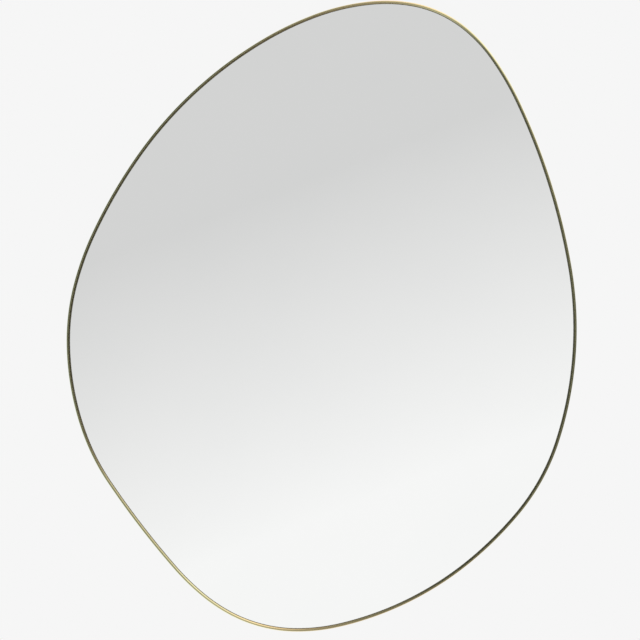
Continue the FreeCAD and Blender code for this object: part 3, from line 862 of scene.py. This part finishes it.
# ---------------------------------------------------------------------------------------------
# Camera, light and floor
# ---------------------------------------------------------------------------------------------
VIEW_HALF_TAN = 0.18173    # of the angle from the picture's middle to its side
VIEW_WIDTH = 1.0132        # at the front rim
VIEW_MIDDLE = (-0.01524, -0.25622)   # x and z
SENSOR_WIDTH = 36.0

BACKGROUND = 0.9216        # the photograph's pale ground
SILVER_SHARE = 0.963       # what the silver gives back
MATT_LIGHT = 0.9           # the even light that matt surfaces get

# ---- the card behind the camera, which fills the glass: directions are seen from the mirror ----
CARD_ZONE = (0.968, 0.981)           # how far forwards, as a cosine, it starts and is full
CARD_FALL = (0.362, 0, -0.932)       # the direction in which it gets paler
CARD_FALL_ENDS = (-0.0762, 0.1039)   # along that direction
CARD_GREY = 0.651          # what the glass shows at its dark end; the pale end shows as the ground

# ---- the room in front, round the card: weak, so that the glass stays grey from the side ----
FRONT_ZONE = (0.55, 0.75)  # how far forwards it starts and is full
FRONT_SHARE = 0.6          # of what is seen there; the light round the plane is the rest
FRONT_LOW_LIGHT = 0.34     # below the horizon
FRONT_HIGH_LIGHT = 0.12    # and above it
FRONT_HORIZON = (-0.25, 0.15)

# ---- light round the mirror's plane, on the room's side and past the wall ----
# (direction, brightness, warmth)
GLOSS_PEAK = 1.6           # the brightness that 1 stands for here
PLANE_ZONE = (-0.25, 0.35)           # from the room's side of the mirror's plane to the wall's
WARM_SHARES = (0.12, -0.05, -0.10)   # what a warmth of 1 adds to red, green and blue
ROOM_SIDE = (
    (-180, 0.03, -1), (-160, 0.03, -1), (-147, 0.06, -1), (-135, 0.20, -0.5), (-120, 0.38, 0),
    (-108, 0.36, 0), (-90, 0.24, 0.8), (-75, 0.17, 1), (-60, 0.04, 1.5), (-45, 0.01, 0), (-25, 0.005, -0.5),
    (0, 0.01, -1), (15, 0.04, 0), (25, 0.12, 1), (32, 0.36, 0.5), (42, 0.88, 0), (55, 0.78, 0.3),
    (70, 0.94, 1), (84, 0.60, 1.3), (97, 0.26, 1), (112, 0.12, 0.3), (125, 0.02, -1), (150, 0.015, -1),
    (180, 0.03, -1))
WALL_SIDE = (
    (-180, 0.36, -1), (-165, 0.55, -1), (-130, 0.75, -0.5), (-105, 0.92, 0), (-80, 0.65, 1), (-60, 0.60, 1),
    (-40, 0.50, 0), (-20, 0.25, 0), (0, 0.24, -0.5), (15, 0.50, 0), (30, 0.92, 0), (50, 0.85, 0.3),
    (66, 0.82, 0.8), (90, 0.75, 1), (110, 0.60, 0), (128, 0.30, -1), (180, 0.36, -1))

FLOOR_Z = -1.05
FLOOR_RADIUS = 1.5
FLOOR_FADE = (0.5, 1.45)   # from its middle, where it starts to fade and where it is gone


def aim_camera():
    """The photograph's view, square on to the mirror."""
    camera = bpy.data.cameras.new("Camera")
    camera.sensor_width = SENSOR_WIDTH
    camera.lens = SENSOR_WIDTH / 2 / VIEW_HALF_TAN
    camera_object = bpy.data.objects.new("Camera", camera)
    away = VIEW_WIDTH / 2 / VIEW_HALF_TAN
    camera_object.location = (VIEW_MIDDLE[0], FRONT_RIM_Y - away, VIEW_MIDDLE[1])
    camera_object.rotation_euler = (math.pi / 2, 0, 0)
    bpy.context.scene.collection.objects.link(camera_object)
    bpy.context.scene.camera = camera_object


def round_ramp(tree, turn, stops):
    """Light by direction, from (degrees, brightness, warmth) stops over a whole turn."""
    ramp = node(tree, "ShaderNodeValToRGB", {0: turn})
    elements = ramp.color_ramp.elements
    while len(elements) < len(stops):
        elements.new(0.5)
    for element, (degrees, light, warmth) in zip(elements, stops):
        element.position = (degrees + 180) / 360
        element.color = [light * (1 + share * warmth) for share in WARM_SHARES] + [1]
    return ramp.outputs[0]


def studio_world():
    """Even light for matt surfaces; for gloss, a pale card behind the camera and a studio round it."""
    world = bpy.data.worlds.new("Studio")
    bpy.context.scene.world = world
    world.use_nodes = True
    tree = world.node_tree
    tree.nodes.clear()
    direction = node(tree, "ShaderNodeTexCoord").outputs["Generated"]
    x, y, z = node(tree, "ShaderNodeSeparateXYZ", {0: direction}).outputs
    forwards = maths(tree, "MULTIPLY", y, -1.0)

    fall = node(tree, "ShaderNodeVectorMath", {0: direction, 1: CARD_FALL},
                operation="DOT_PRODUCT").outputs["Value"]
    card = remap(tree, fall, *CARD_FALL_ENDS, CARD_GREY / SILVER_SHARE, BACKGROUND / SILVER_SHARE)
    front = remap(tree, z, *FRONT_HORIZON, FRONT_LOW_LIGHT, FRONT_HIGH_LIGHT, smooth=True)

    turn = remap(tree, maths(tree, "ARCTAN2", z, x), -math.pi, math.pi, 0.0, 1.0)
    wall_light = remap(tree, y, *PLANE_ZONE, 0.0, GLOSS_PEAK, smooth=True)
    room_light = maths(tree, "SUBTRACT", GLOSS_PEAK, wall_light)
    sides = [node(tree, "ShaderNodeVectorMath", {0: round_ramp(tree, turn, stops), "Scale": light},
                  operation="SCALE").outputs[0]
             for stops, light in ((ROOM_SIDE, room_light), (WALL_SIDE, wall_light))]
    around = node(tree, "ShaderNodeVectorMath", dict(enumerate(sides)), operation="ADD").outputs[0]

    in_front = remap(tree, forwards, *FRONT_ZONE, 0.0, FRONT_SHARE, smooth=True)
    in_card = remap(tree, forwards, *CARD_ZONE, 0.0, 1.0, smooth=True)
    seen_in_gloss = blend_colours(tree, in_card, blend_colours(tree, in_front, around, front), card)
    rays = node(tree, "ShaderNodeLightPath").outputs
    for_matt = blend_colours(tree, rays["Is Glossy Ray"], colour(MATT_LIGHT, MATT_LIGHT, MATT_LIGHT),
                             seen_in_gloss)
    shown = blend_colours(tree, rays["Is Camera Ray"], for_matt, colour(BACKGROUND, BACKGROUND, BACKGROUND))
    background = node(tree, "ShaderNodeBackground", {"Color": shown, "Strength": 1.0})
    output = node(tree, "ShaderNodeOutputWorld")
    tree.links.new(background.outputs[0], output.inputs["Surface"])


def pale_floor():
    """A pale disc under the mirror that takes its soft shadow and fades out at its edge."""
    bm = bmesh.new()
    bmesh.ops.create_circle(bm, cap_ends=True, segments=96, radius=FLOOR_RADIUS,
                            matrix=Matrix.Translation((0, 0, FLOOR_Z)))
    mesh = bpy.data.meshes.new("floor")
    bm.to_mesh(mesh)
    bm.free()
    floor = bpy.data.objects.new("floor", mesh)
    bpy.context.scene.collection.objects.link(floor)
    floor.visible_glossy = False
    material, tree, shader, place = new_material("Pale floor")
    mottle = use(tree, HAZE, place=place, size=300 * MM, low=0.0, high=1.0)
    tint = blend_colours(tree, mottle["Mask"], colour(0.90, 0.90, 0.90), colour(0.88, 0.88, 0.88))
    tree.links.new(tint, shader.inputs["Base Color"])
    set_shader(shader, Roughness=0.9)
    from_middle = node(tree, "ShaderNodeVectorMath", {0: place, 1: (1, 1, 0)},
                       operation="MULTIPLY").outputs[0]
    distance = node(tree, "ShaderNodeVectorMath", {0: from_middle}, operation="LENGTH").outputs["Value"]
    tree.links.new(remap(tree, distance, *FLOOR_FADE, 1.0, 0.0, smooth=True), shader.inputs["Alpha"])
    mesh.materials.append(material)


def soft_lamp(name, place, target, size, power):
    """A round area lamp, aimed at a point and not seen in gloss."""
    lamp = bpy.data.lights.new(name, "AREA")
    lamp.shape = "DISK"
    lamp.size = size
    lamp.energy = power
    lamp_object = bpy.data.objects.new(name, lamp)
    lamp_object.location = place
    lamp_object.rotation_euler = (Vector(target) - Vector(place)).to_track_quat("-Z", "Y").to_euler()
    lamp_object.visible_glossy = False
    bpy.context.scene.collection.objects.link(lamp_object)


aim_camera()
studio_world()
pale_floor()
soft_lamp("Key", place=(1.6, -1.6, 1.9), target=(0, 0, -0.25), size=1.4, power=30)

bpy.context.scene.view_settings.view_transform = "Standard"
